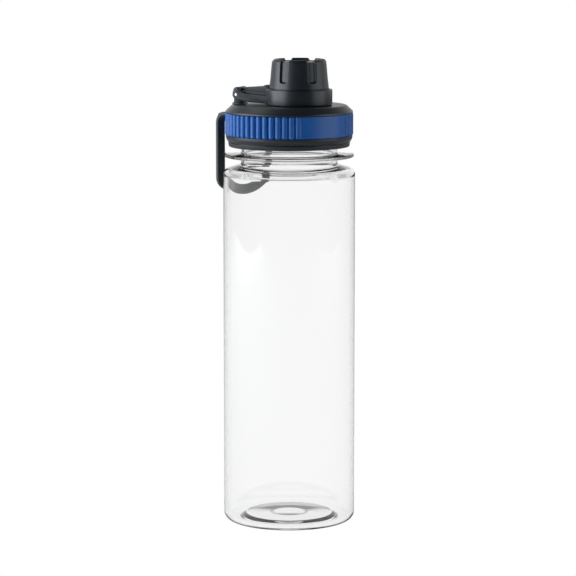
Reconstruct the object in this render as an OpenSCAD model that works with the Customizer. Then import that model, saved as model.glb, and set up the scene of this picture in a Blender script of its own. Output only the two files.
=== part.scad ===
// Clear drinking bottle with a screw lid, a hinged chug cap and a carry loop.
// Units are millimetres, +Z is up, and the origin is the middle of the base on the table.
// The bottle's axis is Z, the front faces -Y, and the loop and hinge are at the back left.

/* [Bottle] */
// Outside diameter of the clear body
body_d = 73; // [65:0.5:80]
// Wall thickness of the clear body
body_wall = 1.9; // [1.2:0.1:3]
// Height where the shoulder meets the neck
shoulder_z = 199.6; // [180:0.1:220]
// Radius of the rounded corner under the body
base_corner = 4.6; // [2:0.1:8]
// Radius of the hollow under the base
punt_r = 25; // [18:0.5:30]
// Outside radius of the neck
neck_r = 26.7; // [24:0.1:30]
// Height of the drinking rim of the neck
neck_top = 228; // [222:0.1:232]
// Radius of the clear bead around the neck
bead_r = 35.8; // [31:0.1:36.5]
// Height of the bead's tip
bead_z = 205; // [203:0.1:207]

/* [Threads] */
// Rise of the lid thread in one turn
lid_pitch = 5; // [3:0.5:6]
// Crest radius of the thread on the neck
neck_crest = 28.4; // [27:0.1:29]
// Crest radius of the thread in the lid
lid_crest = 27.1; // [26.9:0.1:28]
// Rise of the cap thread in one turn
cap_pitch = 2.8; // [2:0.1:4]

/* [Lid] */
// Height of the lid's flat top
deck_z = 232.75; // [230:0.05:236]
// Radius of the lid's flat top
deck_r = 31.6; // [28:0.1:34]
// Largest radius of the lid
lid_r = 35.3; // [33:0.1:38]
// Lowest height of the coloured ring
ring_low = 216.2; // [214:0.1:220]
// Top height of the coloured ring
ring_high = 228.45; // [226:0.05:230]
// Radius of the plain part of the coloured ring
ring_r = 34.75; // [34:0.05:36]
// Radius at the top of each rib
rib_top = 35.4; // [34.8:0.1:36.5]
// Number of grip ribs
rib_count = 50; // [30:1:60]
// Degrees from one rib to the next
rib_step = 6.2; // [5:0.1:8]
// Lowest height of the lower collar
collar_low = 209.8; // [208:0.1:213]

/* [Spout and cap] */
// Distance of the spout from the bottle's axis
spout_off = 5.9; // [0:0.1:9]
// Drinking bore radius
spout_bore = 9.5; // [7:0.1:10.5]
// Height of the spout's lip
spout_top = 250.5; // [246:0.1:252]
// Height of the top of the cap's rim
cap_top = 258.1; // [254:0.1:262]
// Cap radius at its lower edge
cap_low_r = 16.4; // [15:0.1:17]
// Cap radius under its top edge
cap_high_r = 15.0; // [14:0.1:16]
// Number of grip grooves in the cap
groove_count = 6; // [4:1:12]
// Depth of each groove
groove_depth = 1.25; // [0.8:0.05:1.5]
// Width of each groove
groove_w = 4.5; // [3:0.1:6]

/* [Hinge] */
// Direction of the hinge around the bottle
hinge_az = 158; // [140:1:175]
// Distance of the hinge pin from the bottle's axis
hinge_r = 29.4; // [27:0.1:31]
// Height of the hinge pin
pin_z = 237.95; // [236:0.05:240]
// Radius of the hinge pin
pin_r = 0.85; // [0.6:0.05:1.2]

/* [Carry loop] */
// Direction of the loop around the bottle
loop_az = 133.5; // [120:0.5:150]
// Distance of the loop's inner face from the bottle's axis
loop_in = 37.4; // [37:0.1:40]
// Thickness of the strap
loop_t = 2; // [1.6:0.1:4]
// Lowest height of the loop
loop_low = 180.7; // [170:0.1:190]
// Top height of the loop
loop_top = 228.1; // [226:0.05:228.3]
// Half the width of the loop
loop_half = 19.3; // [16:0.1:24]
// Width of the strap
leg_w = 5.6; // [4:0.1:8]
// Outer radius of the bend at the top of each leg
bend_r = 6.5; // [4:0.1:7]
// Radius of the curved foot of the loop
foot_r = 30; // [24:1:60]
// Radius of the foot's outer corners
foot_corner = 6.5; // [3:0.1:10]
// Distance of the loop's pivot line from the bottle's axis
pivot_x = 36; // [35:0.1:37]
// Width of the lug beside each leg
lug_w = 3.4; // [2.5:0.1:5]

/* [Hidden] */
$fn = 96;
body_r = body_d / 2;
body_in = body_r - body_wall;
neck_in = neck_r - 2;
spout_x = -spout_off * cos(hinge_az);
spout_y = -spout_off * sin(hinge_az);
bend_x = loop_in + loop_t - bend_r;
bend_z = loop_top - bend_r;
pivot_z = bend_z + sqrt(pow(bend_r - loop_t / 2, 2) - pow(pivot_x - bend_x, 2));
leg_gap = 0.4;
lug_mid = loop_half - leg_w - leg_gap - lug_w / 2;
stub_r = 0.9;
ring_gap = 0.35;

// Points of an arc in the plane, from angle a to angle b.
function arc(x, y, r, a, b, n = 8) =
    [for (i = [0:n]) [x + r * cos(a + (b - a) * i / n), y + r * sin(a + (b - a) * i / n)]];

// A screw thread: a ridge with sloping flanks that dies away at both ends.
// root and crest are radii, turns is its length and low the height where it starts.
module thread(root, crest, pitch, turns, low, root_w, crest_w, start = 0, per = 36) {
    steps = round(turns * per);
    sink = root > crest ? 0.4 : -0.4;
    function fade(i) = min(1, 0.04 + i / (per / 8), 0.04 + (steps - i) / (per / 8));
    function mid(i) = low + pitch * i / per;
    function tip(i) = root + (crest - root) * fade(i);
    function place(r, z, i) = [r * cos(start + 360 * i / per), r * sin(start + 360 * i / per), z];
    points = [for (i = [0:steps]) each [
        place(root + sink, mid(i) - root_w / 2, i),
        place(tip(i), mid(i) - crest_w / 2, i),
        place(tip(i), mid(i) + crest_w / 2, i),
        place(root + sink, mid(i) + root_w / 2, i)]];
    out = crest > root;
    sides = [for (i = [0:steps - 1]) for (k = [0:3])
        let (a = 4 * i + k, b = 4 * i + (k + 1) % 4, c = 4 * i + 4 + (k + 1) % 4, d = 4 * i + 4 + k)
        each (out ? [[a, b, c], [a, c, d]] : [[a, c, b], [a, d, c]])];
    first = out ? [3, 2, 1, 0] : [0, 1, 2, 3];
    e = 4 * steps;
    last = out ? [e, e + 1, e + 2, e + 3] : [e + 3, e + 2, e + 1, e];
    polyhedron(points = points, faces = concat(sides, [first, last]), convexity = 6);
}

// The local frame of the hinge: x points from the pin to the spout, z up.
module at_hinge() {
    translate([hinge_r * cos(hinge_az), hinge_r * sin(hinge_az), pin_z])
        rotate([0, 0, hinge_az + 180])
            children();
}

// The local frame of the spout and cap, turned the same way as the hinge.
module at_spout() {
    translate([spout_x, spout_y, 0])
        children();
}

// Two copies in the loop's direction, each a distance from its middle line.
module on_both_sides(distance) {
    rotate([0, 0, loop_az])
        for (side = [-1, 1])
            translate([0, side * distance, 0])
                children();
}

// Clear one-piece body: base with a hollow, straight wall, shoulder, bead, neck and thread.
module bottle_body() {
    color([0.86, 0.92, 0.95, 0.35])
    union() {
        rotate_extrude()
            polygon(concat(
                [[0, 1.9], [9.0, 1.9], [9.3, 2.4], [10.1, 2.4], [10.4, 1.9]],
                [[punt_r + 0.2, 1.5]],
                arc(punt_r + 2.4, 1.0, 1.0, 200, 270, 4),
                arc(body_r - base_corner, base_corner, base_corner, 270, 360, 12),
                arc(body_r - 4, shoulder_z - 5.4, 4, 0, 68, 10),
                arc(neck_r + 1.4, shoulder_z + 1.4, 1.4, 258, 180, 6),
                arc(neck_r + 0.8, bead_z - 2.1, 0.8, 180, 93, 4),
                arc(bead_r - 0.95, bead_z, 0.95, -87, 87, 8),
                arc(neck_r + 0.8, bead_z + 2.1, 0.8, 267, 180, 4),
                arc(neck_r - 0.7, neck_top - 0.7, 0.7, 0, 90, 5),
                arc(neck_in + 0.7, neck_top - 0.7, 0.7, 90, 180, 5),
                arc(neck_in + 3, shoulder_z + 0.3, 3, 180, 270, 8),
                arc(body_in - 3.4, shoulder_z - 7, 3.4, 84, 0, 8),
                arc(body_in - 2.8, 4.8, 2.8, 360, 270, 10),
                [[punt_r + 2.2, 2], [punt_r - 0.4, 3.9], [0, 4.2]]));
        thread(neck_r, neck_crest, lid_pitch, 2, 213.6, 2.4, 1.2);
    }
}

// Soft ring in the lid's roof that seals on the rim of the neck.
module lid_gasket() {
    color([0.85, 0.86, 0.84])
    rotate_extrude()
        polygon(concat(
            [[23.6, 228.6], [24.0, neck_top + 0.3], [27.9, neck_top + 0.3]],
            [[28.3, 228.6], [28.3, 230.2], [23.6, 230.2]]));
}

// Moulded lid: flat top, rounded shoulder, threaded barrel, offset spout and hinge lug.
module lid_shell() {
    color([0.16, 0.17, 0.18])
    difference() {
        union() {
            rotate_extrude()
                polygon(concat(
                    [[0, deck_z - 2.25], [28.9, deck_z - 2.25], [28.9, 210.8], [29.4, 210.2]],
                    [[31.0, 210.2], [31.0, ring_high + 0.02], [lid_r - 0.35, ring_high + 0.02]],
                    arc(lid_r - 0.35, ring_high + 0.37, 0.35, -90, 0, 3),
                    arc(lid_r - 4.2, ring_high + 0.5, 4.2, 4, 58, 8),
                    [[deck_r + 0.55, deck_z - 0.1]],
                    arc(deck_r - 0.1, deck_z - 0.15, 0.45, 40, 120, 4),
                    [[deck_r - 1.2, deck_z], [0, deck_z]]));
            at_spout()
                rotate_extrude()
                    polygon(concat(
                        [[0, deck_z - 1], [13.6, deck_z - 1], [13.6, deck_z]],
                        arc(13.2, deck_z + 1, 1, -90, -180, 3),
                        [[12.2, 241]],
                        arc(10.45, spout_top - 0.75, 0.75, 3, 90, 5),
                        [[0, spout_top]]));
            at_spout()
                thread(12.25, 13.0, cap_pitch, 1.5, 235.8, 1.5, 0.7, 40);
            thread(28.9, lid_crest, lid_pitch, 1.75, 213.6, 2.4, 1.2, 180);
            at_hinge()
                hinge_lug();
            on_both_sides(lug_mid)
                loop_lug();
        }
        at_spout()
            translate([0, 0, deck_z - 5])
                cylinder(h = 30, r = spout_bore);
        at_hinge()
            rotate([90, 0, 0])
                cylinder(h = 20, r = pin_r + 0.07, center = true);
        on_both_sides(lug_mid)
            translate([pivot_x, 0, pivot_z])
                rotate([90, 0, 0])
                    cylinder(h = 2 * lug_w, r = stub_r + 0.05, center = true);
    }
}

// A lug that comes out through the coloured ring and carries one stub of the loop.
module loop_lug() {
    rotate([90, 0, 0])
        linear_extrude(height = lug_w, center = true)
            hull() {
                translate([pivot_x, pivot_z])
                    circle(r = 1.6);
                translate([27.7, pivot_z - 1.6])
                    square([1, 3.2]);
            }
}

// The lid's post under the hinge pin, between the two ears of the bracket.
module hinge_lug() {
    rotate([90, 0, 0])
        cylinder(h = 7.2, r = 2.6, center = true);
    translate([-2.3, -3.6, deck_z - pin_z - 0.5])
        cube([4.6, 7.2, pin_z - deck_z + 0.5]);
    translate([-2.3 - 0.6, -4.6, deck_z - pin_z - 0.5])
        cube([5.8, 9.2, 1.3]);
}

// Coloured ring with rounded ribs and one plain stretch, pressed over the barrel.
module grip_ring() {
    color([0.12, 0.29, 0.55])
    difference() {
        union() {
            rotate_extrude()
                polygon([[31.03, ring_low + 0.02], [ring_r - 0.35, ring_low + 0.02],
                    [ring_r, ring_low + 0.37], [ring_r, ring_high - 0.35],
                    [ring_r - 0.35, ring_high], [31.03, ring_high]]);
            intersection() {
                for (i = [0:rib_count - 1])
                    rotate([0, 0, 278.4 - rib_step * i])
                        translate([rib_top - 1.9, 0, ring_low])
                            cylinder(h = ring_high - ring_low, r = 1.9, $fn = 48);
                rotate_extrude()
                    polygon([[32, ring_low + 0.02], [rib_top - 0.7, ring_low + 0.02],
                        [rib_top + 0.1, ring_low + 0.82], [rib_top + 0.1, ring_high - 0.7],
                        [rib_top - 0.6, ring_high], [32, ring_high]]);
            }
        }
        on_both_sides(lug_mid)
            translate([27, -lug_w / 2 - 0.15, pivot_z - 1.75])
                cube([20, lug_w + 0.3, 8]);
    }
}

// Black ring under the coloured one: it holds it up and covers the end of the barrel.
module lower_collar() {
    color([0.16, 0.17, 0.18])
    rotate_extrude()
        polygon(concat(
            [[31.02, 216.2], [31.02, 210.18], [29.5, 210.18], [29.5, collar_low]],
            arc(32.9, collar_low + 0.8, 0.8, 270, 350, 4),
            [[33.75, 212.1], [33.3, 212.35], [33.3, 212.7], [33.95, 212.95]],
            arc(30.6, 216.0, 4.45, -42, 0, 6),
            [[35.05, 216.2]]));
}

// Ring that holds the cap, with its arm, spine and the two ears on the hinge pin.
module cap_bracket() {
    color([0.2, 0.21, 0.22])
    difference() {
        union() {
            at_spout()
                rotate_extrude()
                    polygon(concat(
                        [[15, 233.4], [18.1, 233.1]],
                        arc(18.05, 233.4, 0.3, 270, 360, 3),
                        arc(17.95, 241.2, 0.4, 0, 90, 3),
                        [[15, 241.6]]));
            at_hinge()
                bracket_arm();
        }
        at_spout() {
            translate([0, 0, 230])
                cylinder(h = 10.2, r = 17.6);
            translate([0, 0, 230])
                cylinder(h = 20, r = 16.75);
        }
        at_hinge() {
            rotate([90, 0, 0])
                cylinder(h = 20, r = pin_r + 0.02, center = true);
            rotate([90, 0, 0])
                cylinder(h = 7.9, r = 3.2, center = true);
            translate([-8, -3.95, -8])
                cube([11.2, 7.9, 8]);
            translate([-8, -3.95, -1])
                cube([8.3, 7.9, 8]);
        }
    }
}

// The arm in the hinge's own frame, as a slab with sloping sides and a spine on top.
module bracket_arm() {
    rotate([90, 0, 0])
        linear_extrude(height = 11.2, center = true)
            polygon(concat(
                [[-1.6, -1.9], [1.8, -3.3], [9, -4.1], [18.2, -4.75], [18.6, -0.3]],
                [[12, 0.35], [4.6, 1.0], [2.6, 2.3]],
                arc(0.1, 2.2, 2.0, 20, 160, 6),
                [[-2.3, 0.9], [-2.35, -0.6]]));
    rotate([90, 0, 0])
        linear_extrude(height = 7.4, center = true)
            polygon([[2, 0.5], [2.6, 2.4], [5, 2.1], [18.5, 1.5], [18.5, -1]]);
    rotate([90, 0, 0])
        linear_extrude(height = 4.6, center = true)
            difference() {
                polygon([[0.6, 2.5], [0.8, 3.75], [14.8, 4.85], [15.8, 5.5], [17.6, 5.5],
                    [18.8, 3.6], [18.8, 0], [2, 0]]);
                for (i = [0:2])
                    translate([3.6 + 2.3 * i, 4.85 + 0.17 * i])
                        circle(r = 1.15, $fn = 24);
            }
    for (side = [-1, 1])
        translate([17.2, side * 5.6, -2.5])
            rotate([0, 0, side * 22])
                translate([-2.2, -1, -2.3])
                    cube([4.4, 2, 4.5]);
}

// Steel pin through the ears and the lid's post.
module hinge_pin() {
    color([0.75, 0.76, 0.78])
    at_hinge()
        rotate([90, 0, 0])
            cylinder(h = 11.3, r = pin_r, center = true);
}

// Soft disc under the cap's roof that closes the spout's lip.
module cap_seal() {
    color([0.85, 0.86, 0.84])
    at_spout()
        rotate_extrude()
            polygon([[0, 251.6], [8.6, 251.6], [9.0, 250.8], [12.2, 250.8], [12.5, 251.1],
                [12.5, 253.2], [0, 253.2]]);
}

// Screw cap: tapered grip with grooves, a sunk top, a thread and a bead in the bracket.
module cap_shell() {
    color([0.18, 0.19, 0.2])
    at_spout()
        union() {
            difference() {
                rotate_extrude()
                    polygon(concat(
                        [[14.2, 234.7], [14.5, 234.4], [16.9, 234.4], [17.2, 234.7]],
                        [[17.2, 235.3], [16.2, 236.1], [16.2, 242.0], [cap_low_r - 0.2, 242.0]],
                        arc(cap_low_r - 0.2, 242.4, 0.2, 0, 20, 2),
                        arc(cap_high_r - 1.75, cap_top - 1.75, 1.75, 6, 90, 7),
                        arc(13.1, cap_top - 0.4, 0.4, 90, 180, 3),
                        arc(12.1, cap_top - 1.0, 0.6, 0, -90, 3),
                        [[0, cap_top - 1.6], [0, 253.25], [12.6, 253.25], [12.9, 252.9]],
                        [[12.9, 246.4], [14.2, 244.6]]));
                for (i = [0:groove_count - 1])
                    rotate([0, 0, 237 + 360 / groove_count * i])
                        cap_groove();
            }
            thread(14.2, 13.4, cap_pitch, 1.4, 236.4, 1.5, 0.7, 200);
        }
}

// One grip groove: round corners at its foot, open through the rim at the top.
module cap_groove() {
    lean = atan((cap_low_r - cap_high_r) / 14);
    round_r = 1.5;
    straight = groove_w / 2 - round_r;
    translate([cap_low_r - 0.32 - groove_depth, 0, 245.6])
        rotate([0, -lean, 0])
            rotate([90, 0, 90])
                linear_extrude(height = 6)
                    polygon(concat(
                        arc(-straight, round_r, round_r, 180, 270),
                        arc(straight, round_r, round_r, 270, 360),
                        [[groove_w / 2, 20], [-groove_w / 2, 20]]));
    translate([9, -groove_w / 2, cap_top - 1.55])
        cube([8, groove_w, 4]);
}

// Flexible carry loop: a flat strap with a curved foot, bent in at the top of each leg.
module carry_loop() {
    color([0.15, 0.16, 0.17])
    difference() {
        union() {
            rotate([0, 0, loop_az])
                intersection() {
                    rotate([90, 0, 0])
                        linear_extrude(height = 2 * loop_half + 2, center = true)
                            strap_side();
                    rotate([90, 0, 90])
                        linear_extrude(height = 60)
                            strap_face();
                }
            on_both_sides(loop_half - leg_w / 2)
                translate([pivot_x, 0, pivot_z])
                    rotate([90, 0, 0])
                        cylinder(h = leg_w, r = 1.3, center = true);
            on_both_sides(lug_mid + 0.4)
                translate([pivot_x, 0, pivot_z])
                    rotate([90, 0, 0])
                        cylinder(h = lug_w + 0.8, r = stub_r, center = true);
        }
        cylinder(h = 300, r = rib_top + ring_gap);
    }
}

// The strap seen from its edge: straight down, with a bend in at the top.
module strap_side() {
    polygon(concat(
        [[loop_in, loop_low - 1], [loop_in + loop_t, loop_low - 1]],
        arc(bend_x, bend_z, bend_r, 0, 90, 9),
        [[28, loop_top], [28, loop_top - loop_t]],
        arc(bend_x, bend_z, bend_r - loop_t, 90, 0, 7)));
}

// The strap seen face on: two legs joined by a curved foot.
module strap_face() {
    outer = loop_half - foot_corner;
    outer_z = loop_low + foot_r - sqrt(pow(foot_r - foot_corner, 2) - pow(outer, 2));
    outer_turn = asin(outer / (foot_r - foot_corner));
    window = loop_half - leg_w;
    inner_corner = 2.6;
    inner = window - inner_corner;
    inner_r = foot_r - leg_w;
    inner_z = loop_low + foot_r - sqrt(pow(inner_r - inner_corner, 2) - pow(inner, 2));
    inner_turn = asin(inner / (inner_r - inner_corner));
    polygon(concat(
        [[-loop_half, 232]],
        arc(-outer, outer_z, foot_corner, 180, 270 - outer_turn, 6),
        arc(0, loop_low + foot_r, foot_r, 270 - outer_turn, 270 + outer_turn, 12),
        arc(outer, outer_z, foot_corner, 270 + outer_turn, 360, 6),
        [[loop_half, 232], [window, 232]],
        arc(inner, inner_z, inner_corner, 360, 270 + inner_turn, 4),
        arc(0, loop_low + foot_r, inner_r, 270 + inner_turn, 270 - inner_turn, 10),
        arc(-inner, inner_z, inner_corner, 270 - inner_turn, 180, 4),
        [[-window, 232]]));
}

bottle_body();
lid_gasket();
lid_shell();
grip_ring();
lower_collar();
cap_bracket();
hinge_pin();
cap_seal();
cap_shell();
carry_loop();
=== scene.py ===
import math
import bmesh
import bpy
import numpy as np
from mathutils import Matrix, Vector


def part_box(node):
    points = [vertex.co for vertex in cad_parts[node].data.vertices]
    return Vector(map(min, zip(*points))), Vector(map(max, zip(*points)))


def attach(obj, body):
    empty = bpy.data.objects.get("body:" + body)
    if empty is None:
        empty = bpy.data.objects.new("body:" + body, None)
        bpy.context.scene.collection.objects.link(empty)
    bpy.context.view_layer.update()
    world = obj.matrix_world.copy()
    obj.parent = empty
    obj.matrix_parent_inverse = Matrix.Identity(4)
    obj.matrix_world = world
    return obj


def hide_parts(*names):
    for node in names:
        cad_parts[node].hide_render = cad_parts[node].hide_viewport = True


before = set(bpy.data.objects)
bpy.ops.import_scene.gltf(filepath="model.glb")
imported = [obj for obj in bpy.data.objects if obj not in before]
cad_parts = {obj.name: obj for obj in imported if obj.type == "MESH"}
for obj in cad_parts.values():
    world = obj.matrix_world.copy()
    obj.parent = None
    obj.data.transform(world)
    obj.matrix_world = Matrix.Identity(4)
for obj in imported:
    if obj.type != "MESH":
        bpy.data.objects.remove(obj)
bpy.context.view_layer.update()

# ---------------------------------------------------------------------------------------------
# Light table and studio.
# A sheet of lit white acrylic carries the bottle and runs back under a white wall, the usual
# set for clear drinkware, with a large soft box on the left, a weaker one on the right and
# darkness towards the viewer, which draws the edges of the clear wall.

MM = 0.001


def linear(hex_colour, alpha=1.0):
    """An sRGB colour such as "#1E4E8C" as the linear RGBA that the shaders take."""
    parts = [int(hex_colour[i:i + 2], 16) / 255 for i in (1, 3, 5)]
    parts = [c / 12.92 if c <= 0.04045 else ((c + 0.055) / 1.055) ** 2.4 for c in parts]
    return (*parts, alpha)


def add_node(tree, kind, settings=None, links=None):
    """Adds a node. settings fills its properties or sockets by name, and links feeds sockets."""
    made = tree.nodes.new(kind)
    for name, value in (settings or {}).items():
        if isinstance(name, str) and hasattr(made, name):
            setattr(made, name, value)
        else:
            made.inputs[name].default_value = value
    for name, source in (links or {}).items():
        tree.links.new(source, made.inputs[name])
    return made


def new_material(name):
    """An empty node material, ready for add_node."""
    material = bpy.data.materials.new(name)
    material.use_nodes = True
    material.node_tree.nodes.clear()
    return material, material.node_tree


def soft_box(name, place, aim, width, height, power, tint="#FFFFFF"):
    """A rectangular soft light at place that faces aim, all in metres."""
    data = bpy.data.lights.new(name, "AREA")
    data.shape = "RECTANGLE"
    data.size, data.size_y = width, height
    data.energy = power
    data.color = linear(tint)[:3]
    lamp = bpy.data.objects.new(name, data)
    bpy.context.scene.collection.objects.link(lamp)
    lamp.location = place
    lamp.rotation_euler = (Vector(aim) - Vector(place)).to_track_quat("-Z", "Y").to_euler()
    return lamp


middle = Vector((0, 0, 0.15))
boxes = [soft_box("left_soft_box", (-1.27, -0.30, 0.50), middle, 1.5, 1.4, 30, "#F3F8FF"),
         soft_box("right_soft_box", (1.26, -0.34, 0.50), middle, 1.2, 1.4, 8, "#F3F8FF"),
         soft_box("top_soft_box", (-0.5, 0.5, 1.4), middle, 0.6, 0.5, 1.5)]

# The wall behind is white, the side towards the viewer is dim, and the two blend at the sides.
# It darkens overhead too. To the eye it is plain white, and through the clear wall nearly so.
world = bpy.data.worlds.new("studio")
bpy.context.scene.world = world
world.use_nodes = True
air = world.node_tree
air.nodes.clear()
way = add_node(air, "ShaderNodeTexCoord")
split = add_node(air, "ShaderNodeSeparateXYZ", links={"Vector": way.outputs["Generated"]})
wall = add_node(air, "ShaderNodeMapRange",
                {"From Min": -0.35, "From Max": 0.65, "To Min": 0.06, "To Max": 1.0},
                {"Value": split.outputs["Y"]})
roof = add_node(air, "ShaderNodeMapRange",
                {"From Min": 0.1, "From Max": 0.8, "To Min": 1.0, "To Max": 0.12},
                {"Value": split.outputs["Z"]})
shell = add_node(air, "ShaderNodeMath", {"operation": "MULTIPLY"},
                 {0: wall.outputs["Result"], 1: roof.outputs["Result"]})
rays = add_node(air, "ShaderNodeLightPath")
through = add_node(air, "ShaderNodeMath", {"operation": "MULTIPLY", 1: 0.6},
                   {0: rays.outputs["Is Transmission Ray"]})
clear = add_node(air, "ShaderNodeMath", {"operation": "MAXIMUM"},
                 {0: through.outputs["Value"], 1: rays.outputs["Is Camera Ray"]})
seen = add_node(air, "ShaderNodeMath", {"operation": "MAXIMUM"},
                {0: shell.outputs["Value"], 1: clear.outputs["Value"]})
glow = add_node(air, "ShaderNodeBackground", {"Color": linear("#FFFFFF")},
                {"Strength": seen.outputs["Value"]})
add_node(air, "ShaderNodeOutputWorld", links={"Surface": glow.outputs["Background"]})

# The table glows evenly to the eye, and throws back only part of that on the bottle.
TABLE_HALF = 14.0
floor_mesh = bpy.data.meshes.new("light_table")
floor_mesh.from_pydata([(x * TABLE_HALF, y * TABLE_HALF, 0)
                        for x, y in ((-1, -1), (1, -1), (1, 1), (-1, 1))], [], [(0, 1, 2, 3)])
floor = bpy.data.objects.new("light_table", floor_mesh)
bpy.context.scene.collection.objects.link(floor)
acrylic, tree = new_material("lit_white_acrylic")
path = add_node(tree, "ShaderNodeLightPath")
direct = add_node(tree, "ShaderNodeMath", {"operation": "MAXIMUM"},
                  {0: path.outputs["Is Camera Ray"], 1: path.outputs["Is Transmission Ray"]})
plain = add_node(tree, "ShaderNodeBsdfDiffuse", {"Color": linear("#E4E5E6")})
lit = add_node(tree, "ShaderNodeEmission", {"Color": linear("#FFFFFF"), "Strength": 1.0})
face = add_node(tree, "ShaderNodeMixShader",
                links={0: direct.outputs["Value"], 1: plain.outputs["BSDF"],
                       2: lit.outputs["Emission"]})
add_node(tree, "ShaderNodeOutputMaterial", links={"Surface": face.outputs["Shader"]})
floor_mesh.materials.append(acrylic)

# A long lens from a metre and a half away, a hand's height above the cap and tipped down.
CAMERA_DOWN = 7.89
eye = bpy.data.objects.new("camera", bpy.data.cameras.new("camera"))
bpy.context.scene.collection.objects.link(eye)
eye.location = (-0.65 * MM, -1.5, 0.3385)
eye.rotation_euler = (math.radians(90 - CAMERA_DOWN), 0, 0)
eye.data.lens = 169.9
eye.data.clip_end = 60
bpy.context.scene.camera = eye
bpy.context.scene.view_settings.view_transform = "Standard"

# ---------------------------------------------------------------------------------------------
# Bottle body.
# One blow-moulded shell of clear copolyester with a hollow base, a straight wall, a rounded
# shoulder, a thin bead that keeps the lid square and a neck with a two-turn thread.

body_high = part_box("bottle_body")[1]
BODY_R = body_high.x / MM - 0.01
NECK_TOP = body_high.z / MM
WALL = 1.9
NECK_R = 26.7
NECK_IN = NECK_R - 2.0
SHOULDER_Z = 199.6
BEAD_R, BEAD_Z = 35.8, 205.0
BASE_CORNER, BASE_CORNER_IN = 4.6, 2.8
PUNT_R, PUNT_Z, PUNT_LIFT = 25.0, 1.9, 0.5
BASE_Z, BASE_TOP = 2.0, 4.2
FOOT_Z = 0.02
BEAD_HALF, BEAD_ROUND, BEAD_ROOT = 0.95, 0.94, 1.3
LID_PITCH, LID_THREAD_LOW, LID_THREAD_FOOT, LID_THREAD_CREST = 5.0, 213.6, 2.6, 1.1
NECK_THREAD_OUT, NECK_TURNS = 1.65, 2.0
THREAD_FROM, THREAD_STEP = 211.0, 0.3


def rounded(corners, bends=7):
    """A closed outline from (radius, height, rounding) corners, each rounding drawn as an arc."""
    outline = []
    count = len(corners)
    spots = [Vector(c[:2]) for c in corners]
    halves = [(spots[i - 1] - spots[i]).angle(spots[(i + 1) % count] - spots[i]) / 2
              for i in range(count)]
    runs = [c[2] / math.tan(half) for c, half in zip(corners, halves)]
    for i in range(count):
        length = (spots[i] - spots[i - 1]).length
        share = 0.998 * length / max(runs[i] + runs[i - 1], length)
        runs[i], runs[i - 1] = runs[i] * share, runs[i - 1] * share
    for i, (here, half, run) in enumerate(zip(spots, halves, runs)):
        if run <= 0:
            outline.append(tuple(here))
            continue
        before, after = spots[i - 1] - here, spots[(i + 1) % count] - here
        radius = run * math.tan(half)
        centre = here + (before.normalized() + after.normalized()).normalized() \
            * (radius / math.sin(half))
        first = here + before.normalized() * run - centre
        last = here + after.normalized() * run - centre
        sweep = first.angle_signed(last)
        for k in range(bends + 1):
            turn = -sweep * k / bends
            outline.append((centre.x + first.x * math.cos(turn) - first.y * math.sin(turn),
                            centre.y + first.x * math.sin(turn) + first.y * math.cos(turn)))
    return outline


def finer(outline, low, high, step, inner=0.0):
    """The outline with extra points, so that no stretch between two heights is over step.
    Stretches nearer the middle than inner stay as they are."""
    made = []
    for i, (r, z) in enumerate(outline):
        made.append((r, z))
        nr, nz = outline[(i + 1) % len(outline)]
        reach = math.hypot(nr - r, nz - z)
        if max(z, nz) > low and min(z, nz) < high and min(r, nr) >= inner and reach > step:
            parts = math.ceil(reach / step)
            made += [(r + (nr - r) * k / parts, z + (nz - z) * k / parts)
                     for k in range(1, parts)]
    return made


def finish_mesh(name, points, faces, sharp=42):
    """A smooth-shaded object in metres from points in millimetres, with its normals outward."""
    mesh = bpy.data.meshes.new(name)
    mesh.from_pydata([tuple(MM * c for c in p) for p in points], [], faces)
    shell = bmesh.new()
    shell.from_mesh(mesh)
    bmesh.ops.recalc_face_normals(shell, faces=shell.faces)
    shell.to_mesh(mesh)
    shell.free()
    mesh.shade_smooth()
    mesh.set_sharp_from_angle(angle=math.radians(sharp))
    piece = bpy.data.objects.new(name, mesh)
    bpy.context.scene.collection.objects.link(piece)
    return piece


def turned(name, outline, steps=192, centre=(0.0, 0.0), shape=None):
    """Turns a closed (radius, height) outline round a vertical line. shape may move each point:
    it takes arrays of radius, height and angle, and gives back radius and height."""
    radius, height = (np.array(c, float) for c in zip(*outline))
    angle = np.arange(steps) * math.tau / steps
    r, a = np.meshgrid(radius, angle, indexing="ij")
    z = np.repeat(height[:, None], steps, 1)
    if shape:
        r, z = shape(r, z, a)
    points, first = [], []
    for i in range(len(outline)):
        first.append(len(points))
        if radius[i] < 1e-6:
            points.append((centre[0], centre[1], height[i]))
        else:
            points += list(zip(centre[0] + r[i] * np.cos(a[i]),
                               centre[1] + r[i] * np.sin(a[i]), z[i]))
    faces = []
    for i in range(len(outline)):
        j = (i + 1) % len(outline)
        tip_i, tip_j = radius[i] < 1e-6, radius[j] < 1e-6
        if tip_i and tip_j:
            continue
        for k in range(steps):
            n = (k + 1) % steps
            if tip_i:
                faces.append((first[i], first[j] + k, first[j] + n))
            elif tip_j:
                faces.append((first[i] + k, first[j], first[i] + n))
            else:
                faces.append((first[i] + k, first[j] + k, first[j] + n, first[i] + n))
    return finish_mesh(name, points, faces)


def thread_depth(z, angle, low, turns, pitch, foot, crest, start=0.0):
    """How far a thread stands out at each point, from 0 to 1: a ridge foot wide at its root and
    crest wide at its top, which climbs pitch in a turn and dies away over its last eighths."""
    best = np.zeros_like(z)
    for lap in range(-1, int(math.ceil(turns)) + 1):
        along = (angle - start) / math.tau + lap
        offset = np.abs(z - low - pitch * along)
        ridge = np.clip((foot / 2 - offset) / ((foot - crest) / 2), 0, 1)
        ends = np.clip(along * 8, 0, 1) * np.clip((turns - along) * 8, 0, 1)
        best = np.maximum(best, ridge * ends)
    return best


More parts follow.
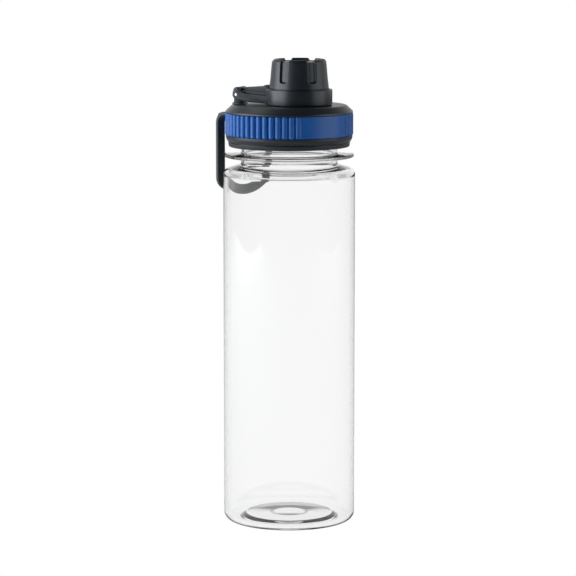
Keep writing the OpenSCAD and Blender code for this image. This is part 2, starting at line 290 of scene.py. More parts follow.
def neck_thread(r, z, angle):
    """Raises the neck's thread on the outside of the neck."""
    outside = (np.abs(r - NECK_R) < 0.01) & (z > SHOULDER_Z + 8)
    depth = thread_depth(z, angle, LID_THREAD_LOW, NECK_TURNS, LID_PITCH, LID_THREAD_FOOT,
                         LID_THREAD_CREST)
    return np.where(outside, r + NECK_THREAD_OUT * depth, r), z


# From the middle of the hollow out to the foot, up the outside, and down and in again.
body_outline = rounded([
    (0, PUNT_Z, 0), (9.0, PUNT_Z, 0.2), (9.3, PUNT_Z + PUNT_LIFT, 0.3),
    (10.1, PUNT_Z + PUNT_LIFT, 0.3), (10.4, PUNT_Z, 0.2),
    (PUNT_R + 0.2, PUNT_Z - 0.4, 1.2), (PUNT_R + 1.4, FOOT_Z, 1.0),
    (BODY_R, FOOT_Z, BASE_CORNER), (BODY_R, SHOULDER_Z - 2.7, 3.6),
    (NECK_R, SHOULDER_Z + 0.3, 1.4), (NECK_R, BEAD_Z - BEAD_ROOT, 0.8),
    (BEAD_R, BEAD_Z - BEAD_HALF, BEAD_ROUND), (BEAD_R, BEAD_Z + BEAD_HALF, BEAD_ROUND),
    (NECK_R, BEAD_Z + BEAD_ROOT, 0.8), (NECK_R, NECK_TOP, 0.7), (NECK_IN, NECK_TOP, 0.7),
    (NECK_IN, SHOULDER_Z - 2.3, 3.0), (BODY_R - WALL, SHOULDER_Z - 3.6, 3.4),
    (BODY_R - WALL, BASE_Z, BASE_CORNER_IN), (PUNT_R + 2.2, BASE_Z, 1.5),
    (PUNT_R - 0.4, BASE_TOP - 0.3, 3.0), (0, BASE_TOP, 0)], 16)
bottle_body = turned(
    "clear_bottle", finer(body_outline, THREAD_FROM, 226.6, THREAD_STEP, NECK_R - 0.1), 224,
    shape=neck_thread)

# Clear copolyester: the wall is polished by the mould, with faint waves 42 mm long from blowing,
# and it looks grey where the eye runs along it. The soft boxes don't light it, so that only the
# room shows in it.
copolyester, tree = new_material("clear_copolyester_blown")
waves = add_node(tree, "ShaderNodeTexNoise",
                 {"Scale": 1 / (42 * MM), "Detail": 1.0, "Roughness": 0.35})
ripple = add_node(tree, "ShaderNodeBump", {"Strength": 0.02, "Distance": 0.1 * MM},
                  {"Height": waves.outputs["Fac"]})
skin = add_node(tree, "ShaderNodeBsdfPrincipled",
                {"Base Color": linear("#FFFFFF"), "IOR": 1.54, "Transmission Weight": 1.0,
                 "Roughness": 0.0},
                {"Normal": ripple.outputs["Normal"]})
grey = add_node(tree, "ShaderNodeVolumeAbsorption", {"Color": linear("#5E6465"), "Density": 12.0})
add_node(tree, "ShaderNodeOutputMaterial",
         links={"Surface": skin.outputs["BSDF"], "Volume": grey.outputs["Volume"]})
bottle_body.data.materials.append(copolyester)
unlit = bpy.data.collections.new("clear_wall_out_of_the_soft_boxes")
unlit.objects.link(bottle_body)
unlit.collection_objects[0].light_linking.link_state = "EXCLUDE"
for box in boxes:
    box.light_linking.receiver_collection = unlit
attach(bottle_body, "bottle")
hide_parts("bottle_body")

# ---------------------------------------------------------------------------------------------
# Lid gasket.
# A flat ring of translucent silicone, moulded and pushed into the lid's roof. It seals on the
# neck's rim when the lid is screwed down.

gasket_low, gasket_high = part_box("lid_gasket")
GASKET_R, GASKET_IN = gasket_high.x / MM, 23.6
GASKET_LOW, GASKET_TOP = gasket_low.z / MM, gasket_high.z / MM
lid_gasket = turned("lid_gasket_ring", rounded([
    (GASKET_IN, GASKET_LOW + 0.3, 0.2), (GASKET_IN + 0.4, GASKET_LOW, 0.2),
    (27.9, GASKET_LOW, 0.2), (GASKET_R, GASKET_LOW + 0.3, 0.2),
    (GASKET_R, GASKET_TOP, 0.3), (GASKET_IN, GASKET_TOP, 0.3)], 3), 128)

# Silicone: light passes a little way into it, and its moulded skin has a soft bloom. The bloom's
# 1.1 mm blotches are coarser than the real ones, so that they show.
silicone, tree = new_material("translucent_silicone_moulded")
bloom = add_node(tree, "ShaderNodeTexNoise", {"Scale": 1 / (1.1 * MM), "Detail": 2.0})
blotch = add_node(tree, "ShaderNodeMapRange", {"To Min": 0.42, "To Max": 0.6},
                  {"Value": bloom.outputs["Fac"]})
grain = add_node(tree, "ShaderNodeBump", {"Strength": 0.15, "Distance": 0.05 * MM},
                 {"Height": bloom.outputs["Fac"]})
skin = add_node(tree, "ShaderNodeBsdfPrincipled",
                {"Base Color": linear("#DFE1DC"), "IOR": 1.41, "Subsurface Weight": 0.5,
                 "Subsurface Radius": (1.0, 1.0, 0.9), "Subsurface Scale": 1.2 * MM},
                {"Roughness": blotch.outputs["Result"], "Normal": grain.outputs["Normal"]})
add_node(tree, "ShaderNodeOutputMaterial", links={"Surface": skin.outputs["BSDF"]})
lid_gasket.data.materials.append(silicone)
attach(lid_gasket, "gasket")
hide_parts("lid_gasket")

# ---------------------------------------------------------------------------------------------
# Lid shell.
# Injection-moulded black polypropylene: a flat deck with a rounded shoulder, a threaded barrel
# under it, the drinking spout beside its middle and the post that carries the hinge pin.

lid_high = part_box("lid_shell")[1]
ring_low, ring_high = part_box("grip_ring")
cap_low, cap_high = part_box("cap_shell")
pin_low, pin_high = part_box("hinge_pin")
DECK_Z = 232.75
DECK_UNDER = DECK_Z - 2.25
LID_R = 35.3
BARREL_R, BARREL_IN, BARREL_LOW = 31.0, 28.9, 210.2
BARREL_THREAD_OUT, BARREL_TURNS = 1.75, 1.75
RING_TOP = ring_high.z / MM
SPOUT = ((cap_low.x + cap_high.x) / 2 / MM, (cap_low.y + cap_high.y) / 2 / MM)
SPOUT_TOP = lid_high.z / MM
SPOUT_BORE = 9.5
CAP_PITCH, CAP_THREAD_FOOT, CAP_THREAD_CREST = 2.8, 1.7, 0.6
SPOUT_R, SPOUT_THREAD_LOW, SPOUT_THREAD_OUT, SPOUT_TURNS = 12.2, 235.8, 0.72, 1.5
POST_R, POST_HALF = 2.6, 3.6
PIN = Vector(((pin_low.x + pin_high.x) / 2 / MM, (pin_low.y + pin_high.y) / 2 / MM,
              (pin_low.z + pin_high.z) / 2 / MM))
PIN_R = (pin_high.z - pin_low.z) / 2 / MM
HINGE_AZ = math.atan2(PIN.y, PIN.x)
LOOP_AZ = math.radians(133.5)
PIVOT_X, PIVOT_Z = 36.0, 226.14
LUG_W, LUG_MID, LUG_ROUND, LUG_IN = 3.4, 11.6, 1.6, 27.7
STUB_R, STUB_PLAY = 0.9, 0.05


def baked(piece):
    """Replaces a piece's mesh by what its modifiers make of it."""
    graph = bpy.context.evaluated_depsgraph_get()
    mesh = bpy.data.meshes.new_from_object(piece.evaluated_get(graph))
    piece.modifiers.clear()
    piece.data = mesh
    return piece


def joined(piece, others, how="DIFFERENCE"):
    """Cuts others out of a piece, or welds them to it, and removes them."""
    for other in others:
        step = piece.modifiers.new("step", "BOOLEAN")
        step.operation, step.object, step.solver = how, other, "EXACT"
        bpy.context.view_layer.update()
        baked(piece)
        bpy.data.objects.remove(other)
    return piece


def bar(name, corners, low, high, bevel=0.0):
    """A straight bar: an outline of (along, up) points in millimetres, low to high across it.
    It stands in its own frame, with x along, y across and z up."""
    count = len(corners)
    points = [(x, low, z) for x, z in corners] + [(x, high, z) for x, z in corners]
    faces = [tuple(range(count)), tuple(range(2 * count - 1, count - 1, -1))]
    faces += [(k, (k + 1) % count, (k + 1) % count + count, k + count) for k in range(count)]
    piece = finish_mesh(name, points, faces)
    if bevel:
        edge = piece.modifiers.new("edge", "BEVEL")
        edge.width, edge.segments, edge.limit_method = bevel * MM, 3, "ANGLE"
        edge.angle_limit = math.radians(35)
        baked(piece)
    return piece


def swing_to_hinge(piece):
    """Moves a piece made about the pin, with x towards the spout, to its place on the lid."""
    turn = HINGE_AZ + math.pi
    for v in piece.data.vertices:
        x, y = v.co.x, v.co.y
        v.co.x = PIN.x * MM + x * math.cos(turn) - y * math.sin(turn)
        v.co.y = PIN.y * MM + x * math.sin(turn) + y * math.cos(turn)
        v.co.z += PIN.z * MM
    return piece


def circle(x, z, radius, first=0.0, last=360.0, parts=24):
    """Points of an arc in the (along, up) plane, in degrees from first to last."""
    return [(x + radius * math.cos(math.radians(first + (last - first) * k / parts)),
             z + radius * math.sin(math.radians(first + (last - first) * k / parts)))
            for k in range(parts + (abs(last - first) < 360))]


def barrel_thread(r, z, angle):
    """Lets the lid's thread stand in from the barrel's inner wall."""
    inside = (np.abs(r - BARREL_IN) < 0.01) & (z < DECK_UNDER - 0.5)
    depth = thread_depth(z, angle, LID_THREAD_LOW, BARREL_TURNS, LID_PITCH, LID_THREAD_FOOT,
                         LID_THREAD_CREST, math.pi)
    return np.where(inside, r - BARREL_THREAD_OUT * depth, r), z


lid_outline = rounded([
    (0, DECK_UNDER, 0), (BARREL_IN, DECK_UNDER, 0.4), (BARREL_IN, BARREL_LOW + 0.4, 0.3),
    (29.4, BARREL_LOW, 0.2), (BARREL_R, BARREL_LOW, 0.2), (BARREL_R, RING_TOP + 0.03, 0),
    (LID_R, RING_TOP + 0.03, 0.3),
    (LID_R, RING_TOP + 1.0, 1.2), (LID_R - 1.2, RING_TOP + 2.1, 2.2),
    (31.95, DECK_Z - 0.25, 0.9), (31.2, DECK_Z + 0.05, 0.4), (30.4, DECK_Z, 0.4), (0, DECK_Z, 0)])
lid_shell = turned("lid_shell_moulding", finer(lid_outline, THREAD_FROM, 227.0, THREAD_STEP),
                   224, shape=barrel_thread)


def spout_thread(r, z, angle):
    """Raises the cap's thread on the outside of the spout."""
    outside = (r > SPOUT_R - 0.3) & (r < SPOUT_R + 0.4) & (z > DECK_Z + 1.5) & (z < 242)
    depth = thread_depth(z, angle, SPOUT_THREAD_LOW, SPOUT_TURNS, CAP_PITCH, CAP_THREAD_FOOT,
                         CAP_THREAD_CREST, math.radians(40))
    return np.where(outside, r + SPOUT_THREAD_OUT * depth, r), z


spout_outline = rounded([
    (SPOUT_BORE, DECK_Z - 2.4, 0), (13.6, DECK_Z - 2.4, 0), (13.6, DECK_Z, 0.1),
    (12.25, DECK_Z, 0.9), (SPOUT_R, 241, 0), (11.2, SPOUT_TOP, 0.75),
    (SPOUT_BORE, SPOUT_TOP, 0.7)])
spout = turned("spout", finer(spout_outline, 233.5, 241.0, 0.25), 160, SPOUT, spout_thread)
bore = turned("bore", [(0, 225), (SPOUT_BORE, 225), (SPOUT_BORE, 256), (0, 256)], 160, SPOUT)
deck = DECK_Z - PIN.z
post = bar("post", [(-2.3, deck - 0.8), (2.3, deck - 0.8)]
           + circle(0, 0, POST_R, -28, 208, 24), -POST_HALF, POST_HALF, 0.35)
plinth = bar("plinth", [(-2.9, deck - 0.8), (2.9, deck - 0.8), (2.9, deck + 0.8),
                        (-2.9, deck + 0.8)], -4.6, 4.6, 0.35)
pin_hole = bar("pin_hole", circle(0, 0, PIN_R + 0.07, parts=32), -10, 10)
for piece in (post, plinth, pin_hole):
    swing_to_hinge(piece)


def to_loop(piece):
    """Turns a piece made with its outward direction along x to the loop's direction."""
    piece.data.transform(Matrix.Rotation(LOOP_AZ, 4, "Z"))
    return piece


def loop_lug(name, side):
    """A lug that reaches out through the ring beside one leg of the loop."""
    lug = bar(name, [(LUG_IN, PIVOT_Z - LUG_ROUND)]
              + circle(PIVOT_X, PIVOT_Z, LUG_ROUND, -90, 90, 16)
              + [(LUG_IN, PIVOT_Z + LUG_ROUND)],
              side * LUG_MID - LUG_W / 2, side * LUG_MID + LUG_W / 2, 0.25)
    hole = bar("hole", circle(PIVOT_X, PIVOT_Z, STUB_R + STUB_PLAY, parts=32), -30, 30)
    return to_loop(joined(lug, [hole]))


joined(lid_shell, [bore])
joined(post, [pin_hole])
lugs = [loop_lug("lug", side) for side in (-1, 1)]
bpy.context.view_layer.update()


def merged(piece, others):
    """Puts other closed meshes into a piece without cutting them."""
    shell = bmesh.new()
    for part in [piece] + others:
        shell.from_mesh(part.data)
    mesh = bpy.data.meshes.new(piece.name)
    shell.to_mesh(mesh)
    shell.free()
    mesh.shade_smooth()
    mesh.set_sharp_from_angle(angle=math.radians(42))
    piece.data = mesh
    for part in others:
        bpy.data.objects.remove(part)
    return piece


merged(lid_shell, [spout, post, plinth] + lugs)


def moulded_black(name, colour, dull, shine, grit):
    """Black moulded plastic or rubber: a fine eroded texture from the mould, which breaks up the
    shine, and faint flow marks about 14 mm long in its colour and its gloss. grit is the
    texture's size in millimetres, a few times the real one, so that it shows."""
    material, tree = new_material(name)
    place = add_node(tree, "ShaderNodeTexCoord")
    fine = add_node(tree, "ShaderNodeTexNoise",
                    {"Scale": 1 / (grit * MM), "Detail": 3.0, "Roughness": 0.6},
                    {"Vector": place.outputs["Object"]})
    flow = add_node(tree, "ShaderNodeTexNoise", {"Scale": 1 / (14 * MM), "Detail": 2.0},
                    {"Vector": place.outputs["Object"]})
    rough = add_node(tree, "ShaderNodeMapRange",
                     {"From Min": 0.25, "From Max": 0.75, "To Min": shine, "To Max": dull},
                     {"Value": flow.outputs["Fac"]})
    tint = add_node(tree, "ShaderNodeMix",
                    {"data_type": "RGBA", "A": linear(colour[0]), "B": linear(colour[1])},
                    {"Factor": flow.outputs["Fac"]})
    bump = add_node(tree, "ShaderNodeBump", {"Strength": 0.22, "Distance": 0.03 * MM},
                    {"Height": fine.outputs["Fac"]})
    surface = add_node(tree, "ShaderNodeBsdfPrincipled", {"IOR": 1.49},
                       {"Base Color": tint.outputs["Result"], "Roughness": rough.outputs["Result"],
                        "Normal": bump.outputs["Normal"]})
    add_node(tree, "ShaderNodeOutputMaterial", links={"Surface": surface.outputs["BSDF"]})
    return material


# Black polypropylene: a cool near-black with a satin shine along its edges.
black_pp = moulded_black("black_polypropylene_satin_moulded", ("#191E22", "#1D2327"),
                         0.38, 0.31, 0.25)
lid_shell.data.materials.clear()
lid_shell.data.materials.append(black_pp)
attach(lid_shell, "lid")
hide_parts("lid_shell")

# ---------------------------------------------------------------------------------------------
# Grip ring.
# A blue polypropylene ring pressed over the barrel. Fifty rounded ribs give the fingers a hold,
# and one plain stretch is left between the first rib and the last.

RING_LOW = ring_low.z / MM
RING_R = 34.75
RIB_TOP = 35.4
RIB_COUNT, RIB_STEP, FIRST_RIB = 50, 6.2, 278.4
RIB_ROUND, RIB_END, GROOVE_R = 1.92, 0.8, 34.1
RING_IN, RING_EDGE = 31.03, 34.0
END_STEPS = 0.12
NOTCH_PLAY = 0.15


def rib_height(angle):
    """The ring's outer radius at each angle where a rib stands, and 0 on the plain stretch."""
    turn = np.degrees(angle)
    back = (FIRST_RIB - turn) % 360
    back = np.where(back > 360 - RIB_STEP / 2, back - 360, back)
    nearest = np.clip(np.round(back / RIB_STEP), 0, RIB_COUNT - 1)
    off = np.radians(back - nearest * RIB_STEP) * RIB_TOP
    lobe = RIB_TOP - RIB_ROUND + np.sqrt(np.clip(RIB_ROUND ** 2 - off ** 2, 0, None))
    beside_plain = (back < 0) | (back > (RIB_COUNT - 1) * RIB_STEP)
    lobe = np.maximum(lobe, np.where(beside_plain, RING_R, GROOVE_R))
    return np.where(np.abs(off) < RIB_ROUND, lobe, 0)


def ribs(r, z, angle):
    """Raises the ribs on the ring's outer face and rounds them off at their ends."""
    edge = np.clip(np.minimum(z - RING_LOW, RING_TOP - z) / RIB_END, 0, 1)
    rounding = RIB_END * (1 - np.sqrt(np.clip(1 - (1 - edge) ** 2, 0, 1)))
    height = rib_height(angle)
    outer = np.where(height > 0, np.maximum(height - rounding, RING_EDGE + 0.02), r)
    return np.where(r > RING_EDGE + 0.05, outer, r), z


ring_outline = rounded([
    (RING_IN, RING_LOW, 0), (RING_EDGE, RING_LOW, 0), (RING_R, RING_LOW, 0.35),
    (RING_R, RING_LOW + 1, 0), (RING_R, RING_TOP - 1, 0), (RING_R, RING_TOP, 0.35),
    (RING_EDGE, RING_TOP, 0), (RING_IN, RING_TOP, 0)], 4)
ring_edges = finer(finer(ring_outline, RING_LOW - 1, RING_LOW + 0.95, END_STEPS, RING_EDGE),
                   RING_TOP - 0.95, RING_TOP + 1, END_STEPS, RING_EDGE)
grip_ring = turned("blue_grip_ring", ring_edges, 1440, shape=ribs)
notch_low = PIVOT_Z - LUG_ROUND - NOTCH_PLAY
for side in (-1, 1):
    notch = bar("notch", [(27, notch_low), (45, notch_low), (45, 235), (27, 235)],
                side * LUG_MID - LUG_W / 2 - NOTCH_PLAY, side * LUG_MID + LUG_W / 2 + NOTCH_PLAY)
    joined(grip_ring, [to_loop(notch)])

# Blue polypropylene: smoother than the black, with a low shine on the crown of each rib. Its
# 0.24 mm texture is coarser than the real one, and its flow marks are about 17 mm long.
blue_pp, tree = new_material("blue_polypropylene_moulded")
place = add_node(tree, "ShaderNodeTexCoord")
fine = add_node(tree, "ShaderNodeTexNoise", {"Scale": 1 / (0.24 * MM), "Detail": 2.0},
                {"Vector": place.outputs["Object"]})
flow = add_node(tree, "ShaderNodeTexNoise", {"Scale": 1 / (17 * MM), "Detail": 2.0},
                {"Vector": place.outputs["Object"]})
tint = add_node(tree, "ShaderNodeMix",
                {"data_type": "RGBA", "A": linear("#12569E"), "B": linear("#165BA6")},
                {"Factor": flow.outputs["Fac"]})
rough = add_node(tree, "ShaderNodeMapRange", {"To Min": 0.28, "To Max": 0.36},
                 {"Value": flow.outputs["Fac"]})
bump = add_node(tree, "ShaderNodeBump", {"Strength": 0.12, "Distance": 0.02 * MM},
                {"Height": fine.outputs["Fac"]})
skin = add_node(tree, "ShaderNodeBsdfPrincipled",
                {"IOR": 1.49, "Specular IOR Level": 0.4},
                {"Base Color": tint.outputs["Result"], "Roughness": rough.outputs["Result"],
                 "Normal": bump.outputs["Normal"]})
add_node(tree, "ShaderNodeOutputMaterial", links={"Surface": skin.outputs["BSDF"]})
grip_ring.data.materials.clear()
grip_ring.data.materials.append(blue_pp)
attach(grip_ring, "lid")
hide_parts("grip_ring")

# ---------------------------------------------------------------------------------------------
# Lower collar.
# A black polypropylene ring snapped on the barrel under the blue ring, which it holds up. It
# tapers towards the neck in two steps, and hides the barrel's lower edge.

COLLAR_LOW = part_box("lower_collar")[0].z / MM
COLLAR_TOP, COLLAR_IN = 216.2, 31.02
lower_collar = turned("lower_collar_ring", rounded([
    (COLLAR_IN, COLLAR_TOP, 0), (COLLAR_IN, 210.18, 0), (29.5, 210.18, 0.1),
    (29.5, COLLAR_LOW, 0.25),
    (33.3, COLLAR_LOW, 0.9), (33.75, 212.15, 0.25), (33.25, 212.4, 0.15), (33.3, 212.7, 0.15),
    (34.1, 213.0, 0.6), (34.9, 214.6, 1.6), (35.05, COLLAR_TOP, 0.2)]), 224)
lower_collar.data.materials.append(black_pp)
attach(lower_collar, "lid")
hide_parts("lower_collar")

# ---------------------------------------------------------------------------------------------
# Cap bracket.
# One moulding of black polypropylene: a ring round the cap's skirt, and an arm with a raised
# spine that reaches back to the hinge and ends in two ears on the pin.

BRACKET_R, BRACKET_IN, LIP_IN = 18.35, 17.6, 16.75
BRACKET_LOW, BRACKET_TOP, LIP_Z = 233.1, 241.6, 240.2
EAR_HALF, EAR_GAP = 5.6, 3.95
cap_bracket = turned("cap_bracket_moulding", rounded([
    (BRACKET_IN, BRACKET_LOW, 0.2), (BRACKET_R, BRACKET_LOW, 0.35),
    (BRACKET_R, BRACKET_TOP, 0.5), (LIP_IN, BRACKET_TOP, 0.25),
    (LIP_IN, LIP_Z, 0.2), (BRACKET_IN, LIP_Z, 0.1)], 4), 256, SPOUT)
arm = bar("arm", [(-1.6, -1.9), (1.8, -3.3), (9, -4.1), (18.4, -4.75), (18.8, -0.3), (12, 0.35),
                  (4.6, 1.0), (2.6, 2.3)] + circle(0.1, 2.2, 2.0, 20, 160, 8)
          + [(-2.3, 0.9), (-2.35, -0.6)], -EAR_HALF, EAR_HALF, 0.3)
slope = bar("slope", [(2, 0.5), (2.6, 2.4), (5, 2.1), (18.7, 1.5), (18.7, -1)], -3.7, 3.7, 0.3)
spine = bar("spine", [(0.6, 2.5), (0.8, 3.75), (14.8, 4.85), (15.8, 5.5), (17.6, 5.5),
                      (18.8, 3.6), (18.8, 0), (2, 0)], -2.3, 2.3, 0.3)
for part in (arm, slope, spine):
    swing_to_hinge(part)
joined(cap_bracket, [arm, slope, spine], "UNION")
room = turned("room", [(0, 229), (LIP_IN, 229), (LIP_IN, 250), (0, 250)], 256, SPOUT)
swell = turned("swell", [(0, 229), (BRACKET_IN, 229), (BRACKET_IN, LIP_Z), (0, LIP_Z)], 256,
               SPOUT)
knuckle_room = bar("knuckle_room", [(-8, -8), (3.2, -8)] + circle(0, 0, 3.2, 0, 84, 14)
                   + [(0.33, 7), (-8, 7)], -EAR_GAP, EAR_GAP)
notches = [bar("notch", circle(3.6 + 2.3 * k, 4.85 + 0.17 * k, 1.15, parts=24), -4, 4)
           for k in range(3)]
eye_hole = bar("eye_hole", circle(0, 0, PIN_R + 0.02, parts=32), -10, 10)
for part in [knuckle_room, eye_hole] + notches:
    swing_to_hinge(part)
joined(cap_bracket, [room, swell, knuckle_room, eye_hole] + notches)
cap_bracket.data.shade_smooth()
cap_bracket.data.set_sharp_from_angle(angle=math.radians(35))
cap_bracket.data.materials.clear()
cap_bracket.data.materials.append(black_pp)
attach(cap_bracket, "bracket")
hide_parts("cap_bracket")

# ---------------------------------------------------------------------------------------------
# Hinge pin.
# A short length of drawn stainless wire with its sharp ends broken. It is pressed through the
# bracket's two ears and turns in the lid's post.

PIN_HALF = 5.65
hinge_pin = turned("hinge_pin_wire", rounded([
    (0, -PIN_HALF, 0), (PIN_R, -PIN_HALF, 0.18), (PIN_R, PIN_HALF, 0.18), (0, PIN_HALF, 0)],
    4), 48)
hinge_pin.data.transform(Matrix.Rotation(math.pi / 2, 4, "X"))
swing_to_hinge(hinge_pin)

# Drawn stainless steel: bright, with its gloss broken up by fine 0.2 mm marks.
stainless, tree = new_material("stainless_steel_drawn")
place = add_node(tree, "ShaderNodeTexCoord")
marks = add_node(tree, "ShaderNodeTexNoise", {"Scale": 1 / (0.2 * MM), "Detail": 2.0},
                 {"Vector": place.outputs["Object"]})
worn = add_node(tree, "ShaderNodeMapRange", {"To Min": 0.16, "To Max": 0.34},
                {"Value": marks.outputs["Fac"]})
skin = add_node(tree, "ShaderNodeBsdfPrincipled",
                {"Base Color": linear("#D9DADB"), "Metallic": 1.0},
                {"Roughness": worn.outputs["Result"]})
add_node(tree, "ShaderNodeOutputMaterial", links={"Surface": skin.outputs["BSDF"]})
hinge_pin.data.materials.append(stainless)
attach(hinge_pin, "bracket")
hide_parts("hinge_pin")

# ---------------------------------------------------------------------------------------------
# Cap.
# The screw cap, in black polypropylene: a tapered grip with six grooves that run out through
# the rim, a sunk top, a thread inside and a bead round its foot that stays in the bracket.

CAP_TOP = cap_high.z / MM
CAP_LOW_R, CAP_HIGH_R = 16.4, 15.0
CAP_FOOT, CAP_FOOT_R, CAP_SKIRT_TOP = 234.4, 17.2, 242.0
CAP_ROOF_UNDER, CAP_IN, CAP_THREAD_R, CAP_THREAD_TOP = 253.25, 12.9, 14.2, 244.6
CAP_THREAD_LOW, CAP_THREAD_IN, CAP_TURNS = 236.4, 0.76, 1.4
GROOVES, GROOVE_W, GROOVE_DEPTH, GROOVE_FOOT = 6, 4.5, 1.25, 245.6
GROOVE_CORNER, GROOVE_SOFT, GROOVE_WALL_R = 1.5, 1.0, 13.05
FIRST_GROOVE = math.radians(237)
RIM_CUT, RIM_SOFT = 0.8, 0.9
SINK_Z = CAP_TOP - 1.6


def grooves(r, z, angle):
    """Sinks the grip grooves and opens them through the rim."""
    step = math.tau / GROOVES
    off = (angle - FIRST_GROOVE + step / 2) % step - step / 2
    across = np.abs(r * np.sin(off))
    dx = across - (GROOVE_W / 2 - GROOVE_CORNER)
    dz = GROOVE_FOOT + GROOVE_CORNER - z
    inside = GROOVE_CORNER - np.where((dx > 0) & (dz > 0), np.hypot(dx, dz),
                                      np.maximum(dx, dz))
    soft = np.clip(inside / GROOVE_SOFT + 0.5, 0, 1)
    soft = soft * soft * (3 - 2 * soft)
    outer = (r > GROOVE_WALL_R) & (z > CAP_SKIRT_TOP + 0.3)
    r = np.where(outer, r - np.minimum(GROOVE_DEPTH, r - GROOVE_WALL_R) * soft, r)
    side = np.clip((GROOVE_W / 2 - across) / RIM_SOFT + 0.5, 0, 1)
    side = side * side * (3 - 2 * side)
    above_sink = z - SINK_Z - 0.05
    z = np.where(above_sink > 0, z - RIM_CUT * above_sink * side, z)
    return r, z


def cap_inner_thread(r, z, angle):
    """The grooves outside, and the thread on the cap's inner wall."""
    inner = (np.abs(r - CAP_THREAD_R) < 0.01) & (z < CAP_THREAD_TOP)
    depth = thread_depth(z, angle, CAP_THREAD_LOW, CAP_TURNS, CAP_PITCH, CAP_THREAD_FOOT,
                         CAP_THREAD_CREST, math.radians(200))
    r, z = grooves(r, z, angle)
    return np.where(inner, r - CAP_THREAD_IN * depth, r), z


cap_outline = rounded([
    (CAP_THREAD_R, CAP_FOOT, 0.3), (CAP_FOOT_R, CAP_FOOT, 0.3),
    (CAP_FOOT_R, CAP_FOOT + 0.9, 0.2), (16.2, CAP_FOOT + 1.7, 0.2), (16.2, CAP_SKIRT_TOP, 0),
    (CAP_LOW_R, CAP_SKIRT_TOP, 0.2), (CAP_HIGH_R, CAP_TOP, 2.4), (12.6, CAP_TOP, 0.5),
    (12.55, SINK_Z, 0.5), (0, SINK_Z, 0), (0, CAP_ROOF_UNDER, 0), (CAP_IN, CAP_ROOF_UNDER, 0.3),
    (CAP_IN, 246.4, 0.3), (CAP_THREAD_R, CAP_THREAD_TOP, 0.3)], 8)
cap_edges = finer(finer(cap_outline, 234.0, 244.5, THREAD_STEP, 14.0), CAP_SKIRT_TOP + 0.3,
                  CAP_TOP + 0.1, 0.25, 12.95)
cap_shell = turned("screw_cap", cap_edges, 600, SPOUT, cap_inner_thread)
cap_shell.data.materials.append(black_pp)
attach(cap_shell, "cap")
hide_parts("cap_shell")

# ---------------------------------------------------------------------------------------------
# Cap seal.
# A soft moulded silicone disc held under the cap's roof. Its rim closes on the spout's lip when
# the cap is screwed down.

seal_low, seal_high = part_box("cap_seal")
SEAL_LOW, SEAL_TOP, SEAL_R = seal_low.z / MM, seal_high.z / MM, 12.5
cap_seal = turned("cap_seal_disc", rounded([
    (0, SEAL_LOW + 0.8, 0), (8.6, SEAL_LOW + 0.8, 0.2), (9.0, SEAL_LOW, 0.25),
    (SEAL_R, SEAL_LOW, 0.3), (SEAL_R, SEAL_TOP, 0.2), (0, SEAL_TOP, 0)], 4), 128, SPOUT)
cap_seal.data.materials.append(silicone)
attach(cap_seal, "seal")
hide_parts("cap_seal")

# ---------------------------------------------------------------------------------------------
# Carry loop.
# A flat strap moulded in soft black elastomer. It hangs at the back left as a U with a curved
# foot, bends in at the top of each leg, and turns on two stubs in the lid's lugs.

LOOP_HALF, STRAP_W, STRAP_T = 19.3, 5.6, 2.0
LOOP_TOP, LOOP_LOW = 228.1, 180.7
STRAP_X = 38.4
BEND_R = 5.5
FOOT_R, FOOT_CORNER = 30.0 - STRAP_W / 2, 4.4
STRAP_EDGE = 0.55


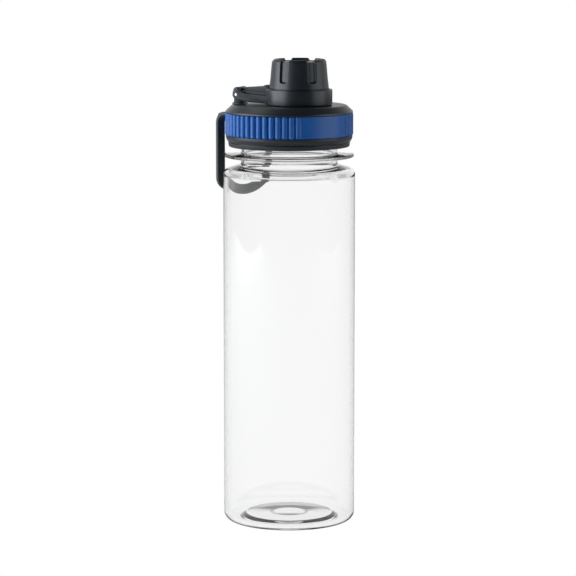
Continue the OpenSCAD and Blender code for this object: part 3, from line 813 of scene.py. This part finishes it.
def half_of_strap():
    """The strap's middle line from the end of one leg to the middle of the foot: each entry is
    a point (out, across, up) and the direction that the strap's outer face looks in."""
    leg = LOOP_HALF - STRAP_W / 2
    bend_x, bend_z = STRAP_X - BEND_R, LOOP_TOP - STRAP_T / 2 - BEND_R
    line = [(Vector((x, leg, bend_z + BEND_R)), Vector((0, 0, 1))) for x in (28, 30.5)]
    for k in range(13):
        turn = math.radians(90 - 7.5 * k)
        face = Vector((math.cos(turn), 0, math.sin(turn)))
        line.append((Vector((bend_x, leg, bend_z)) + BEND_R * face, face))
    front = Vector((1, 0, 0))
    foot_z = LOOP_LOW + STRAP_W / 2 + FOOT_R
    corner_y = leg - FOOT_CORNER
    corner_z = foot_z - math.sqrt((FOOT_R - FOOT_CORNER) ** 2 - corner_y ** 2)
    lean = math.asin(corner_y / (FOOT_R - FOOT_CORNER))
    drop = bend_z - corner_z
    line += [(Vector((STRAP_X, leg, bend_z - drop * k / 8)), front) for k in range(1, 8)]
    for k in range(9):
        turn = -(math.pi / 2 - lean) * k / 8
        line.append((Vector((STRAP_X, corner_y + FOOT_CORNER * math.cos(turn),
                             corner_z + FOOT_CORNER * math.sin(turn))), front))
    for k in range(1, 11):
        turn = lean * (1 - k / 10)
        line.append((Vector((STRAP_X, FOOT_R * math.sin(turn),
                             foot_z - FOOT_R * math.cos(turn))), front))
    return line


def strap(name):
    """Sweeps a soft-cornered flat section along the strap's middle line."""
    half = half_of_strap()
    line = half + [(Vector((p.x, -p.y, p.z)), face) for p, face in reversed(half[:-1])]
    edge = []
    for y, z, first in ((1, 1, 0), (-1, 1, 90), (-1, -1, 180), (1, -1, 270)):
        edge += circle(y * (STRAP_W / 2 - STRAP_EDGE), z * (STRAP_T / 2 - STRAP_EDGE),
                       STRAP_EDGE, first, first + 90, 5)
    points = []
    for i, (here, face) in enumerate(line):
        ahead = line[min(i + 1, len(line) - 1)][0] - line[max(i - 1, 0)][0]
        across = ahead.cross(face).normalized()
        points += [tuple(here + across * y + face * z) for y, z in edge]
    count = len(edge)
    faces = [tuple(range(count)), tuple(range(len(points) - 1, len(points) - 1 - count, -1))]
    faces += [(i * count + k, i * count + (k + 1) % count, (i + 1) * count + (k + 1) % count,
               (i + 1) * count + k) for i in range(len(line) - 1) for k in range(count)]
    return finish_mesh(name, points, faces, 50)


carry_loop = strap("carry_loop_strap")
round_room = turned("round_room", [(0, 215), (RIB_TOP + 0.35, 215), (RIB_TOP + 0.35, 235),
                                   (0, 235)], 160)
round_room.data.transform(Matrix.Rotation(-LOOP_AZ, 4, "Z"))
joined(carry_loop, [round_room])
eyes = []
for side in (-1, 1):
    leg = side * (LOOP_HALF - STRAP_W / 2)
    eyes.append(bar("eye_end", circle(PIVOT_X, PIVOT_Z, 1.3, parts=28), leg - STRAP_W / 2,
                    leg + STRAP_W / 2, 0.2))
    stub = side * (LUG_MID + 0.4)
    eyes.append(bar("stub", circle(PIVOT_X, PIVOT_Z, STUB_R, parts=28), stub - 2.1, stub + 2.1,
                    0.2))
to_loop(merged(carry_loop, eyes))

# Black elastomer: softer to the eye than the lid, a greyer black with a dull, wide shine.
elastomer = moulded_black("black_elastomer_soft_moulded", ("#353B3D", "#3B4143"), 0.6, 0.5, 0.3)
carry_loop.data.materials.append(elastomer)
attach(carry_loop, "loop")
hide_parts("carry_loop")
